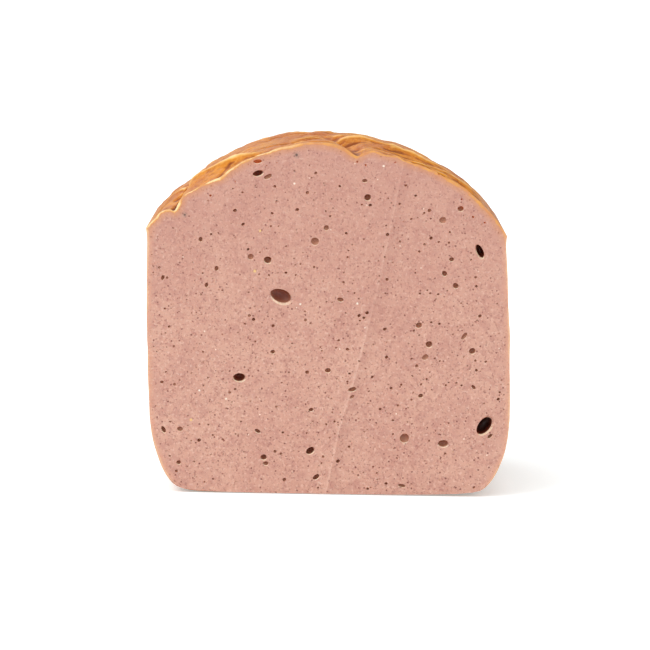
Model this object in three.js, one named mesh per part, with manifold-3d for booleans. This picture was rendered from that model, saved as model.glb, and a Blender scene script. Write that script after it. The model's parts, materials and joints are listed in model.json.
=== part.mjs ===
// A piece of leberkase, cut from the end of a baked meat loaf.
//
// One solid. The cut face is flat and looks to -Y. The other end, the sides and the underside took
// their shape from the baking pan, and the top rose into a folded, browned crown over the pan's rim.
// Millimetres, +Z up. The origin is at the middle of the underside's box.

import * as THREE from 'three';
import { ParametricGeometry } from 'three/addons/geometries/ParametricGeometry.js';
import { mergeVertices } from 'three/addons/utils/BufferGeometryUtils.js';
import Module from 'manifold-3d';

// ---- Driving dimensions --------------------------------------------------------------------

const length = 90; // from the cut face to the baked end
const halfWidth = 57.3; // middle of the section to the widest part of a side
const crownRise = 28.6; // how far the crown stands over the pan's rim
const lean = 0.036; // the section leans to -X by this much for each millimetre up
const leanHeight = 52; // height at which the lean moves nothing

// Each side of the section: the rounded foot, the rim, and the crown's fall towards the rim.
const left = {
	sign: -1,
	footWidth: 11.5,
	footHeight: 26,
	rimHeight: 83.8,
	neck: 1.1, // the wall stands in by this much under the lip
	lipBack: 0.7, // from the neck inwards to where the crown starts
	crownPower: 2.2,
};
const right = {
	sign: 1,
	footWidth: 13.5,
	footHeight: 27,
	rimHeight: 83.1,
	neck: 0.7,
	lipBack: 0.3,
	crownPower: 2.9,
};

const endCorner = 13; // plan radius where a side turns into the baked end
const bulgeHeight = 45; // height where the sides are fullest
const lipReach = 0.5; // the crust's lip stands this far over the neck below it
const lipDrop = 2.4; // the neck is this far under the lip's tip
const lipRise = 1.3; // from the lip's tip up to where the crown starts

const crownPeak = 52; // the crown is highest this far behind the cut face
const crownFrontDrop = 0.4; // and this much lower at the cut face
const crownEndPower = 2.6; // how squarely the crown rolls down to the baked end

const overrun = 6; // the loaf runs on this far past the cut before it is sliced

// ---- Crust relief --------------------------------------------------------------------------

// Folds and dents are laid out on a crown of this size, as [across, behind the cut face], and
// they spread with the real one.
const reliefField = { halfWidth: 57.3, length: 90 };

// Wide dents: middle, reach in each direction, depth. A negative depth is a swelling.
const dents = [
	{ at: [-35, -3], reach: [17, 9], depth: 3.2 },
	{ at: [-52, 0], reach: [2.6, 9], depth: -1.3 },
	{ at: [55, 0], reach: [4, 12], depth: -0.9 },
	{ at: [24, 6], reach: [13, 22], depth: 2.5 },
	{ at: [32, 48], reach: [14, 30], depth: 2.3 },
	{ at: [53, 44], reach: [5, 26], depth: -0.9 },
	{ at: [-6, 66], reach: [18, 9], depth: 1.1 },
];

// Folds: a line on the crown, its depth, and the reach of its left and right sides, seen looking
// along the line. A negative depth is a ridge.
const folds = [
	{ line: [[-48.4, -16], [-47.9, 0], [-45, 10], [-40, 25], [-32, 42]], depth: 2.4, reach: [2.3, 2.6] },
	{ line: [[-20, 3], [-31, 8], [-42, 14], [-53, 25]], depth: -1.4, reach: [3.4, 3.4] },
	{ line: [[10.6, -16], [10.2, 0], [9, 10], [5, 21], [-2, 32]], depth: 3.2, reach: [3.6, 2.7] },
	{ line: [[-17, 6], [-10, 14], [-1, 22], [7, 23]], depth: 0.9, reach: [2.8, 2.8] },
	{ line: [[-10, 30], [4, 28], [16, 22], [30, 20], [44, 24]], depth: -0.9, reach: [4.0, 3.0] },
	{ line: [[36, 1], [44, 6], [52, 14]], depth: 0.9, reach: [2.6, 2.6] },
	{ line: [[14, 33], [28, 38], [46, 42]], depth: 1.3, reach: [3.6, 3.0] },
	{ line: [[-26, 32], [-10, 45], [7, 52], [26, 57]], depth: 1.5, reach: [3.8, 3.2] },
	{ line: [[-53, 42], [-38, 55], [-20, 63]], depth: 1.6, reach: [3.2, 3.8] },
	{ line: [[38, 60], [20, 71], [6, 79]], depth: 1.1, reach: [3.4, 3.4] },
];
const foldTaper = 0.22; // share of a fold's line over which each of its ends dies away

// ---- Pores in the cut face -----------------------------------------------------------------

// Air pockets are laid out on a face of this size, as [across, up], and they spread with the
// real one. Each has its own width and height, its turn in degrees and its depth.
const poreField = { halfWidth: 57.3, height: 111.7 };

const pores = [
	{ at: [-15.0, 62.9], size: [6.6, 3.9], turn: -20, depth: 2.6 },
	{ at: [49.3, 22.2], size: [6.2, 3.3], turn: 58, depth: 4.2 },
	{ at: [50.9, 23.4], size: [3.4, 2.6], turn: 80, depth: 3.4 },
	{ at: [47.5, 78.0], size: [4.4, 1.9], turn: -66, depth: 3.4 },
	{ at: [-27.8, 36.7], size: [3.9, 2.3], turn: 0, depth: 2.8 },
	{ at: [-22.8, 101.4], size: [3.2, 1.6], turn: 15, depth: 2.4 },
	{ at: [24.8, 18.3], size: [2.9, 2.6], turn: 20, depth: 1.3 },
	{ at: [37.1, 16.8], size: [3.1, 2.0], turn: 0, depth: 1.6 },
	{ at: [-5.0, 13.8], size: [2.8, 1.8], turn: 35, depth: 2.2 },
	{ at: [-4.5, 80.3], size: [2.4, 2.2], turn: -30, depth: 1.0 },
	{ at: [-3.0, 5.4], size: [2.3, 1.3], turn: 35, depth: 1.5 },
	{ at: [-19.3, 74.2], size: [2.3, 2.0], turn: -20, depth: 1.6 },
	{ at: [8.0, 33.6], size: [2.6, 1.2], turn: 15, depth: 1.1 },
	{ at: [43.1, 51.1], size: [2.6, 1.1], turn: 50, depth: 0.7 },
	{ at: [-19.6, 100.4], size: [2.6, 1.2], turn: 25, depth: 0.8 },
	{ at: [-22.9, 105.1], size: [2.6, 1.1], turn: 5, depth: 0.9 },
	{ at: [24.3, 3.1], size: [2.4, 0.9], turn: -10, depth: 0.9 },
	{ at: [-51.5, 19.8], size: [2.2, 1.1], turn: -65, depth: 1.4 },
	{ at: [35.6, 87.6], size: [2.2, 1.9], turn: 0, depth: 0.7 },
	{ at: [30.9, 44.2], size: [2.1, 1.5], turn: 30, depth: 0.7 },
	{ at: [11.8, 94.4], size: [2.0, 1.9], turn: 0, depth: 1.6 },
	{ at: [32.0, 48.3], size: [2.0, 1.8], turn: 0, depth: 1.3 },
	{ at: [45.7, 46.4], size: [2.0, 1.7], turn: 20, depth: 1.3 },
	{ at: [-19.7, 11.5], size: [1.9, 1.6], turn: 0, depth: 1.5 },
	{ at: [-19.0, 9.5], size: [1.7, 1.2], turn: 0, depth: 0.9 },
	{ at: [28.7, 54.3], size: [1.9, 1.6], turn: 20, depth: 1.1 },
	{ at: [3.8, 62.0], size: [1.9, 1.2], turn: -15, depth: 0.9 },
	{ at: [-21.7, 19.8], size: [1.9, 1.0], turn: -30, depth: 1.2 },
	{ at: [0.2, 39.5], size: [1.8, 1.3], turn: 0, depth: 1.1 },
	{ at: [40.1, 67.0], size: [1.8, 1.5], turn: -60, depth: 1.2 },
	{ at: [36.5, 70.8], size: [1.7, 1.4], turn: -60, depth: 1.2 },
	{ at: [41.1, 91.3], size: [1.8, 1.5], turn: 0, depth: 1.2 },
	{ at: [-24.7, 75.1], size: [1.8, 1.7], turn: 0, depth: 0.8 },
	{ at: [-46.3, 20.1], size: [1.8, 1.3], turn: -10, depth: 0.8 },
	{ at: [51.9, 19.4], size: [1.8, 0.9], turn: 40, depth: 1.0 },
	{ at: [46.4, 34.9], size: [1.6, 0.9], turn: -50, depth: 0.9 },
	{ at: [-1.0, 84.6], size: [1.6, 1.5], turn: 0, depth: 0.8 },
	{ at: [10.8, 99.6], size: [1.6, 1.0], turn: 0, depth: 0.8 },
	{ at: [-4.9, 26.9], size: [1.5, 1.0], turn: 10, depth: 1.0 },
	{ at: [29.7, 31.9], size: [1.5, 1.1], turn: 10, depth: 1.0 },
	{ at: [-35.4, 71.2], size: [1.5, 1.2], turn: 70, depth: 0.9 },
	{ at: [-40.5, 80.3], size: [1.5, 1.1], turn: 90, depth: 0.9 },
	{ at: [8.0, 31.2], size: [1.5, 0.9], turn: 30, depth: 0.6 },
	{ at: [-17.3, 45.1], size: [1.4, 1.1], turn: 0, depth: 1.0 },
	{ at: [-38.5, 65.9], size: [1.4, 1.0], turn: 80, depth: 0.9 },
	{ at: [-46.6, 9.4], size: [1.4, 1.2], turn: 0, depth: 1.0 },
	{ at: [-52.3, 68.0], size: [1.5, 1.0], turn: 75, depth: 0.9 },
	{ at: [38.6, 75.3], size: [1.4, 1.2], turn: -20, depth: 1.0 },
];

const poreBury = 0.2; // share of its depth that a pore's middle lies behind the cut face
const largePore = 2.5; // pores wider than this get finer facets

// ---- Facets --------------------------------------------------------------------------------

const footSteps = 4;
const sideSteps = 6;
const crownSteps = 56;
const undersideSteps = 6;
const straightSteps = 20;
const cornerSteps = 5;
const foldSamples = 20;
const frontCrowding = 1.25; // sections stand closer together near the cut face

// ---- Helpers -------------------------------------------------------------------------------

const { lerp } = THREE.MathUtils;

// How deep a fold is at a point on the plan, from the nearest point of the fold's line.
function foldDepth(fold, x, y) {
	const last = fold.points.length - 1;
	let nearest = Infinity;
	let onLeft = true;
	let along = 0;
	for (let i = 0; i < last; i++) {
		const step = new THREE.Vector2().subVectors(fold.points[i + 1], fold.points[i]);
		const toPoint = new THREE.Vector2(x, y).sub(fold.points[i]);
		const share = THREE.MathUtils.clamp(toPoint.dot(step) / step.lengthSq(), 0, 1);
		const distance = toPoint.distanceTo(step.clone().multiplyScalar(share));
		if (distance < nearest) {
			nearest = distance;
			onLeft = step.cross(toPoint) > 0;
			along = (i + share) / last;
		}
	}
	const reach = onLeft ? fold.reach[0] : fold.reach[1];
	const fade = THREE.MathUtils.smoothstep(Math.min(along, 1 - along), 0, foldTaper);
	return fold.depth * fade * Math.exp(-((nearest / reach) ** 2));
}

for (const fold of folds) {
	const curve = new THREE.SplineCurve(fold.line.map(([x, y]) => new THREE.Vector2(x, y)));
	fold.points = curve.getPoints(foldSamples);
}

// Depth of the crust's dents and folds at a place on the crown.
function reliefAt(x, behind) {
	const px = (x * reliefField.halfWidth) / halfWidth;
	const py = (behind * reliefField.length) / length;
	let depth = 0;
	for (const dent of dents) {
		const dx = (px - dent.at[0]) / dent.reach[0];
		const dy = (py - dent.at[1]) / dent.reach[1];
		depth += dent.depth * Math.exp(-dx * dx - dy * dy);
	}
	for (const fold of folds) {
		depth += foldDepth(fold, px, py);
	}
	return depth;
}

// How much of its rise the crown has at a distance behind the cut face: 0 at the baked end.
function crownShare(behind) {
	if (behind < crownPeak) {
		return 1 - (crownFrontDrop / crownRise) * (1 - behind / crownPeak) ** 2;
	}
	return 1 - ((behind - crownPeak) / (length - crownPeak)) ** crownEndPower;
}

// How far a wall stands in from its fullest line at a height.
function wallInset(x, z) {
	const toRight = THREE.MathUtils.clamp(0.5 + x / (2 * halfWidth), 0, 1);
	const neck = lerp(left.neck, right.neck, toRight);
	const neckHeight = lerp(left.rimHeight, right.rimHeight, toRight) - lipDrop;
	const up = THREE.MathUtils.clamp((z - bulgeHeight) / (neckHeight - bulgeHeight), 0, 1);
	return neck * up * up;
}

// ---- The section ---------------------------------------------------------------------------

// A station is one section of the loaf: how far it is behind the cut face, how much of its full
// size a rounded corner has there (1 on the straight, 0 at the end), and how far the ring has
// closed towards the middle of an end. Each run below gives a point of that section: its x and z,
// lip, which is 1 on the crust's tip, and onWall, which is 0 on the crown. Runs start at the left
// end of the underside and go round to the right, over the crown and down the left side.

function wallX(side, station) {
	return side.sign * (halfWidth - endCorner * (1 - station.corner));
}

function footPoint(side, station, angle) {
	const x = wallX(side, station) - side.sign * side.footWidth * station.corner * (1 - Math.cos(angle));
	const z = side.footHeight * (1 - station.corner * Math.sin(angle));
	return { x, z, lip: 0, onWall: 1 };
}

function underside(share, station) {
	const a = footPoint(left, station, Math.PI / 2);
	const b = footPoint(right, station, Math.PI / 2);
	return { x: lerp(a.x, b.x, share), z: lerp(a.z, b.z, share), lip: 0, onWall: 1 };
}

function wallPoint(side, station, share) {
	const z = lerp(side.footHeight, side.rimHeight - lipDrop, share);
	return { x: wallX(side, station), z, lip: 0, onWall: 1 };
}

function lipTip(side, station) {
	return { x: wallX(side, station), z: side.rimHeight, lip: 1, onWall: 1 };
}

function crown(share, station) {
	const from = wallX(right, station) - (right.neck + right.lipBack) * station.corner;
	const to = wallX(left, station) + (left.neck + left.lipBack) * station.corner;
	const x = lerp(from, to, share);
	const side = x > 0 ? right : left;
	const across = Math.abs(x / (x > 0 ? from : to));
	const rise = crownShare(station.behind);
	const rim = lerp(right.rimHeight, left.rimHeight, share) + lipRise * Math.min(1, 8 * rise);
	const dome = (crownRise - lipRise) * rise * (1 - across ** side.crownPower);
	const relief = reliefAt(x, station.behind) * (1 - across ** 8) * Math.min(1, 2.5 * rise);
	return { x, z: rim + dome - relief, lip: rise > 0 ? 0 : 1, onWall: 0 };
}

const ringRuns = [
	{ steps: undersideSteps, at: underside },
	{ steps: footSteps, at: (share, s) => footPoint(right, s, (1 - share) * (Math.PI / 2)) },
	{ steps: sideSteps, at: (share, s) => wallPoint(right, s, share) },
	{ steps: 1, at: (share, s) => (share < 1 ? wallPoint(right, s, 1) : lipTip(right, s)) },
	{ steps: 1, at: (share, s) => (share < 1 ? lipTip(right, s) : crown(0, s)) },
	{ steps: crownSteps, at: crown },
	{ steps: 1, at: (share, s) => (share < 1 ? crown(1, s) : lipTip(left, s)) },
	{ steps: 1, at: (share, s) => (share < 1 ? lipTip(left, s) : wallPoint(left, s, 1)) },
	{ steps: sideSteps, at: (share, s) => wallPoint(left, s, 1 - share) },
	{ steps: footSteps, at: (share, s) => footPoint(left, s, share * (Math.PI / 2)) },
];

// Stations from the middle of the front end, along the loaf, to the middle of the baked end.
const stationRuns = [
	{ steps: 1, at: (share) => ({ behind: -overrun, corner: 1, closed: 1 - share }) },
	{ steps: 2, at: (share) => ({ behind: -overrun * (1 - share), corner: 1, closed: 0 }) },
	{
		steps: straightSteps,
		at: (share) => ({ behind: (length - endCorner) * share ** frontCrowding, corner: 1, closed: 0 }),
	},
	{
		steps: cornerSteps,
		at: (share) => ({
			behind: length - endCorner * (1 - Math.sin((share * Math.PI) / 2)),
			corner: share < 1 ? Math.cos((share * Math.PI) / 2) : 0,
			closed: 0,
		}),
	},
	{ steps: 1, at: (share) => ({ behind: length, corner: 0, closed: share * 0.09 }) },
	{ steps: 3, at: (share) => ({ behind: length, corner: 0, closed: lerp(0.09, 1, share) }) },
];

const countSteps = (runs) => runs.reduce((sum, run) => sum + run.steps, 0);

// Finds the run that a step falls in, and the share of that run that lies before it.
function pickRun(runs, step) {
	let before = 0;
	for (const run of runs) {
		if (step <= before + run.steps) {
			return { run, share: (step - before) / run.steps };
		}
		before += run.steps;
	}
	return { run: runs[runs.length - 1], share: 1 };
}

const columns = countSteps(ringRuns);
const rows = countSteps(stationRuns);

// The loaf's skin. Across u the section is walked backwards, so that its faces look outwards.
function loafPoint(u, v, target) {
	const along = pickRun(stationRuns, Math.round(v * rows));
	const station = along.run.at(along.share);
	const round = pickRun(ringRuns, Math.round((1 - u) * columns) % columns);
	const point = round.run.at(round.share, station);

	const middle = (left.rimHeight + right.rimHeight) / 4;
	const z = lerp(point.z, middle, station.closed);
	const closedX = lerp(point.x, 0, station.closed);
	const lip = station.closed > 0 ? 0 : point.lip;
	const out = lip * lipReach - wallInset(closedX, z);
	const facingEnd = Math.sqrt(1 - station.corner ** 2);
	const x = closedX + Math.sign(closedX) * out * station.corner * point.onWall;
	const y = station.behind + out * facingEnd;
	target.set(x - lean * (z - leanHeight), y, z);
}

// ---- Solids --------------------------------------------------------------------------------

const wasm = await Module();
wasm.setup();

// Makes a closed geometry a solid. Corners that fell together at a pole drop their triangles.
function toSolid(geometry) {
	geometry.deleteAttribute('normal');
	geometry.deleteAttribute('uv');
	const merged = mergeVertices(geometry, 1e-4);
	const corners = merged.index.array;
	const triangles = [];
	for (let i = 0; i < corners.length; i += 3) {
		const [a, b, c] = corners.slice(i, i + 3);
		if (a !== b && b !== c && c !== a) {
			triangles.push(a, b, c);
		}
	}
	return new wasm.Manifold(
		new wasm.Mesh({
			numProp: 3,
			vertProperties: new Float32Array(merged.attributes.position.array),
			triVerts: new Uint32Array(triangles),
		}),
	);
}

function toGeometry(solid) {
	const mesh = solid.getMesh();
	const geometry = new THREE.BufferGeometry();
	geometry.setAttribute('position', new THREE.BufferAttribute(mesh.vertProperties, 3));
	geometry.setIndex(new THREE.BufferAttribute(mesh.triVerts, 1));
	geometry.computeVertexNormals();
	return geometry;
}

// The whole end of the loaf, before it is sliced.
function wholeLoaf() {
	return toSolid(new ParametricGeometry(loafPoint, columns, rows));
}

// Everything on the far side of the knife.
function slicedOff() {
	const room = 4 * (halfWidth + crownRise + right.rimHeight);
	const slab = new THREE.BoxGeometry(room, room, room);
	slab.translate(0, -room / 2, 0);
	return toSolid(slab);
}

// One air pocket, opened by the knife.
function poreSolid({ at, size, turn, depth }) {
	const fine = size[0] > largePore;
	const ball = new THREE.SphereGeometry(0.5, fine ? 12 : 8, fine ? 8 : 5);
	ball.scale(size[0], 2 * depth, size[1]);
	ball.rotateY(-THREE.MathUtils.degToRad(turn));
	const faceHeight = left.rimHeight + crownRise - crownFrontDrop;
	const x = (at[0] * halfWidth) / poreField.halfWidth;
	const z = (at[1] * faceHeight) / poreField.height;
	ball.translate(x, poreBury * depth, z);
	return toSolid(ball);
}

let loaf = wholeLoaf().subtract(slicedOff());
for (const pore of pores) {
	loaf = loaf.subtract(poreSolid(pore));
}

// ---- The part ------------------------------------------------------------------------------

const bakedMeat = new THREE.MeshStandardMaterial({ color: 0xdaa896, roughness: 0.55, metalness: 0 });

const geometry = toGeometry(loaf);
geometry.computeBoundingBox();
const box = geometry.boundingBox;
geometry.translate(-(box.min.x + box.max.x) / 2, -(box.min.y + box.max.y) / 2, -box.min.z);

const leberkase = new THREE.Mesh(geometry, bakedMeat);
leberkase.name = 'leberkase';

const group = new THREE.Group();
group.add(leberkase);

export default group;
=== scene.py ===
"""A piece of leberkase: the end of a baked meat loaf, standing on its underside.

The piece is one solid. Its skin starts from the frame's node, is rounded and given the folds of
a baked crown, is sliced flat at the front, and has its air pockets cut into the slice. Lengths
are in metres: X runs across the loaf, Y from the cut face to the baked end, and Z up.
"""

import json
import logging
import math
import random
from collections.abc import Callable, Iterator
from contextlib import contextmanager
from dataclasses import dataclass
from enum import Enum

import bpy
import numpy as np
from bpy.types import Material, MeshPolygon, Node, NodeSocket, NodeTree, Object
from mathutils import Matrix, Vector
from mathutils.bvhtree import BVHTree
from mathutils.kdtree import KDTree

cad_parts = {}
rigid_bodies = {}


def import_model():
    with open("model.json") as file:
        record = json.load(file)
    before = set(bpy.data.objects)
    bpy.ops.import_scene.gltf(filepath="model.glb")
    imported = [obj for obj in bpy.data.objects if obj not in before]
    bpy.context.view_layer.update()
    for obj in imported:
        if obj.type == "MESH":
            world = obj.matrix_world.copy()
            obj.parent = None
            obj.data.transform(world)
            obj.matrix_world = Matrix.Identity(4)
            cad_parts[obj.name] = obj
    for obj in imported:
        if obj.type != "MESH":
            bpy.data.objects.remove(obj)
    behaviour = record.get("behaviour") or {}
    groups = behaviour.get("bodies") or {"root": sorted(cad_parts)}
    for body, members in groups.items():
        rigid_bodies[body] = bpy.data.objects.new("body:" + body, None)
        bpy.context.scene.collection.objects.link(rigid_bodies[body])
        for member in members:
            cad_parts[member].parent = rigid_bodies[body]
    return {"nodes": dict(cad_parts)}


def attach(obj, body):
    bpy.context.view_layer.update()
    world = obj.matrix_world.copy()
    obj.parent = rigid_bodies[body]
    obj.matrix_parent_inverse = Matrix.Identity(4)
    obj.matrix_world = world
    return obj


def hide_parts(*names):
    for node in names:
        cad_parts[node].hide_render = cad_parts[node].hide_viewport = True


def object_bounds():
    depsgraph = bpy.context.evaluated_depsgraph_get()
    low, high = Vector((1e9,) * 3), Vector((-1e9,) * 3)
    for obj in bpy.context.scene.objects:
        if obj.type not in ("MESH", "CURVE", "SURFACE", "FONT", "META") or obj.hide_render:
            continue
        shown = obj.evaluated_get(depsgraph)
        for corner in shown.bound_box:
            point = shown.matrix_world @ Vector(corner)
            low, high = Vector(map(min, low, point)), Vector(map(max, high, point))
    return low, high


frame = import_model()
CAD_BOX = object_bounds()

log = logging.getLogger("leberkase")

MM = 0.001
NODE = "leberkase"
SKIN_DISTANCE = "skin_distance"
HOLLOW = "hollow"
BAKED = "baked"
KNIFE = "knife"

Colour = tuple[float, float, float, float]


def srgb(red: int, green: int, blue: int) -> Colour:
    """Turns a screen colour into a linear one.

    Args:
        red: Its red, from 0 to 255.
        green: Its green, from 0 to 255.
        blue: Its blue, from 0 to 255.

    Returns:
        The linear colour, opaque.
    """
    def linear(channel: int) -> float:
        """Turns one channel into its linear share."""
        share = channel / 255
        return share / 12.92 if share <= 0.04045 else ((share + 0.055) / 1.055) ** 2.4
    return linear(red), linear(green), linear(blue), 1.0


class Finish(Enum):
    """The two surfaces of the piece, by their place among its material slots."""

    CUT = 0
    SKIN = 1


# ---- Working on a mesh as by hand -------------------------------------------------------------


def take(piece: Object) -> None:
    """Makes a piece the only selected one, and the active one.

    Args:
        piece: The piece to select.
    """
    for other in bpy.context.view_layer.objects:
        other.select_set(False)
    bpy.context.view_layer.objects.active = piece
    piece.select_set(True)


@contextmanager
def editing(piece: Object, kind: str = "FACE") -> Iterator[None]:
    """Opens a piece in edit mode.

    Args:
        piece: The mesh to edit.
        kind: What is selected there: VERT, EDGE or FACE.

    Returns:
        The time for which it stays open, once.
    """
    take(piece)
    bpy.ops.object.mode_set(mode="EDIT")
    bpy.ops.mesh.select_mode(type=kind)
    yield
    bpy.ops.object.mode_set(mode="OBJECT")


def pick_faces(piece: Object, wanted: Callable[[MeshPolygon], bool]) -> int:
    """Selects the faces that a rule wants, and nothing else.

    Args:
        piece: The mesh, in object mode.
        wanted: The rule for a face.

    Returns:
        How many faces were selected.
    """
    with editing(piece):
        bpy.ops.mesh.select_all(action="DESELECT")
    picked = 0
    for face in piece.data.polygons:
        face.select = wanted(face)
        picked += face.select
    return picked


def modify(piece: Object, kind: str, **settings: object) -> None:
    """Adds a modifier to a piece, sets it and applies it.

    Args:
        piece: The mesh to change.
        kind: The modifier's type, such as SUBSURF.
        **settings: The modifier's own settings.
    """
    take(piece)
    modifier = piece.modifiers.new(kind.lower(), kind)
    for name, value in settings.items():
        setattr(modifier, name, value)
    bpy.ops.object.modifier_apply(modifier=modifier.name)


def cut_with(piece: Object, tool: Object, operation: str) -> None:
    """Cuts a piece with a closed tool mesh, which is used up.

    Args:
        piece: The mesh to cut.
        tool: The closed mesh that cuts it.
        operation: DIFFERENCE or INTERSECT.
    """
    modify(piece, "BOOLEAN", operation=operation, object=tool, solver="MANIFOLD")
    bpy.data.objects.remove(tool)


def places(piece: Object) -> np.ndarray:
    """The places of a mesh's corners.

    Args:
        piece: The mesh.

    Returns:
        One row for each corner.
    """
    flat = np.empty(3 * len(piece.data.vertices))
    piece.data.vertices.foreach_get("co", flat)
    return flat.reshape(-1, 3)


def give_weights(piece: Object, name: str, weights: np.ndarray) -> None:
    """Writes a vertex group.

    Args:
        piece: The mesh.
        name: The group's name.
        weights: One weight for each corner, from 0 to 1.
    """
    group = piece.vertex_groups.new(name=name)
    least = 0.001
    for index in np.flatnonzero(weights > least):
        group.add([int(index)], float(weights[index]), "REPLACE")


def smooth_step(value: np.ndarray, start: float, end: float) -> np.ndarray:
    """Rises smoothly from 0 at start to 1 at end."""
    share = np.clip((value - start) / (end - start), 0, 1)
    return share * share * (3 - 2 * share)


def join(parts: list[Object]) -> Object:
    """Joins several meshes into the first one.

    Args:
        parts: The meshes.

    Returns:
        The first one, which now holds them all.
    """
    take(parts[0])
    for part in parts:
        part.select_set(True)
    bpy.ops.object.join()
    return parts[0]


def settle(piece: Object) -> None:
    """Moves a piece's place, turn and scale into its mesh."""
    take(piece)
    bpy.ops.object.transform_apply(location=True, rotation=True, scale=True)


# ---- The skin ---------------------------------------------------------------------------------


FOLD_TAPER = 0.2  # share of a fold's line over which each of its ends dies away


@dataclass(frozen=True)
class Fold:
    """A crease or ridge in the crust.

    Attributes:
        line: Places on the crown, as (across, behind the cut face) in millimetres.
        depth: How deep it is in millimetres. A ridge is below 0.
        reach: How far its left and right sides reach, seen looking along the line.
    """

    line: tuple[tuple[float, float], ...]
    depth: float
    reach: tuple[float, float]

    def profile(self, x: np.ndarray, behind: np.ndarray) -> np.ndarray:
        """The fold's depth at places on the crown.

        Args:
            x: Places across the loaf, in millimetres.
            behind: Places behind the cut face, in millimetres.

        Returns:
            The depth at each place, in millimetres.
        """
        knots = np.array(self.line, float)
        steps = len(knots) - 1
        nearest = np.full(x.shape, np.inf)
        side = np.zeros(x.shape)
        along = np.zeros(x.shape)
        for index in range(steps):
            start, step = knots[index], knots[index + 1] - knots[index]
            to_x, to_y = x - start[0], behind - start[1]
            share = np.clip((to_x * step[0] + to_y * step[1]) / (step @ step), 0, 1)
            gap = np.hypot(to_x - share * step[0], to_y - share * step[1])
            closer = gap < nearest
            nearest = np.where(closer, gap, nearest)
            side = np.where(closer, step[0] * to_y - step[1] * to_x, side)
            along = np.where(closer, (index + share) / steps, along)
        reach = np.where(side > 0, self.reach[0], self.reach[1])
        fade = smooth_step(np.minimum(along, 1 - along), 0, FOLD_TAPER)
        return self.depth * fade * np.exp(-((nearest / reach) ** 2))


# The folds that are placed one by one, from the cut face back.
CREASES = (
    Fold(((-49.2, -9), (-48.2, 0), (-46, 8), (-42, 19), (-36, 32)), 0.9, (0.6, 0.9)),
    Fold(((-45, -6), (-44, 4), (-40, 16), (-34, 30)), -0.7, (1.4, 2.4)),
    Fold(((-17, 0), (-24, 3), (-33, 8), (-42, 13), (-51, 20)), -0.7, (1.3, 0.8)),
    Fold(((-20, 6), (-30, 11), (-41, 17), (-50, 26)), 0.9, (1.5, 0.8)),
    Fold(((10.6, -9), (10.3, 0), (8, 9), (4, 19), (-3, 29)), 0.2, (1.5, 1.0)),
    Fold(((-16, 3), (-9, 12), (-1, 19), (7, 21), (15, 19)), 0.9, (0.9, 1.6)),
    Fold(((-15, 8), (-4, 22), (6, 25), (18, 22), (32, 19), (44, 22)), -0.8, (1.6, 1.1)),
    Fold(((26, 4), (34, 8), (42, 9), (50, 12)), 0.8, (1.0, 1.5)),
    Fold(((24, 8), (34, 12), (44, 14), (51, 18)), -0.6, (1.8, 1.4)),
    Fold(((13, 34), (27, 39), (45, 42)), 0.9, (1.0, 1.6)),
    Fold(((-27, 33), (-11, 46), (6, 53), (26, 58)), 1.1, (1.7, 1.0)),
    Fold(((-54, 43), (-38, 56), (-19, 64)), 1.1, (1.0, 1.7)),
    Fold(((40, 59), (21, 72), (4, 80)), 0.8, (1.4, 1.0)),
    Fold(((-8, 62), (8, 66), (22, 70)), -0.7, (2.2, 1.8)),
    Fold(((-44, 68), (-30, 74), (-12, 78)), -0.6, (2.0, 1.6)),
)


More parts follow.
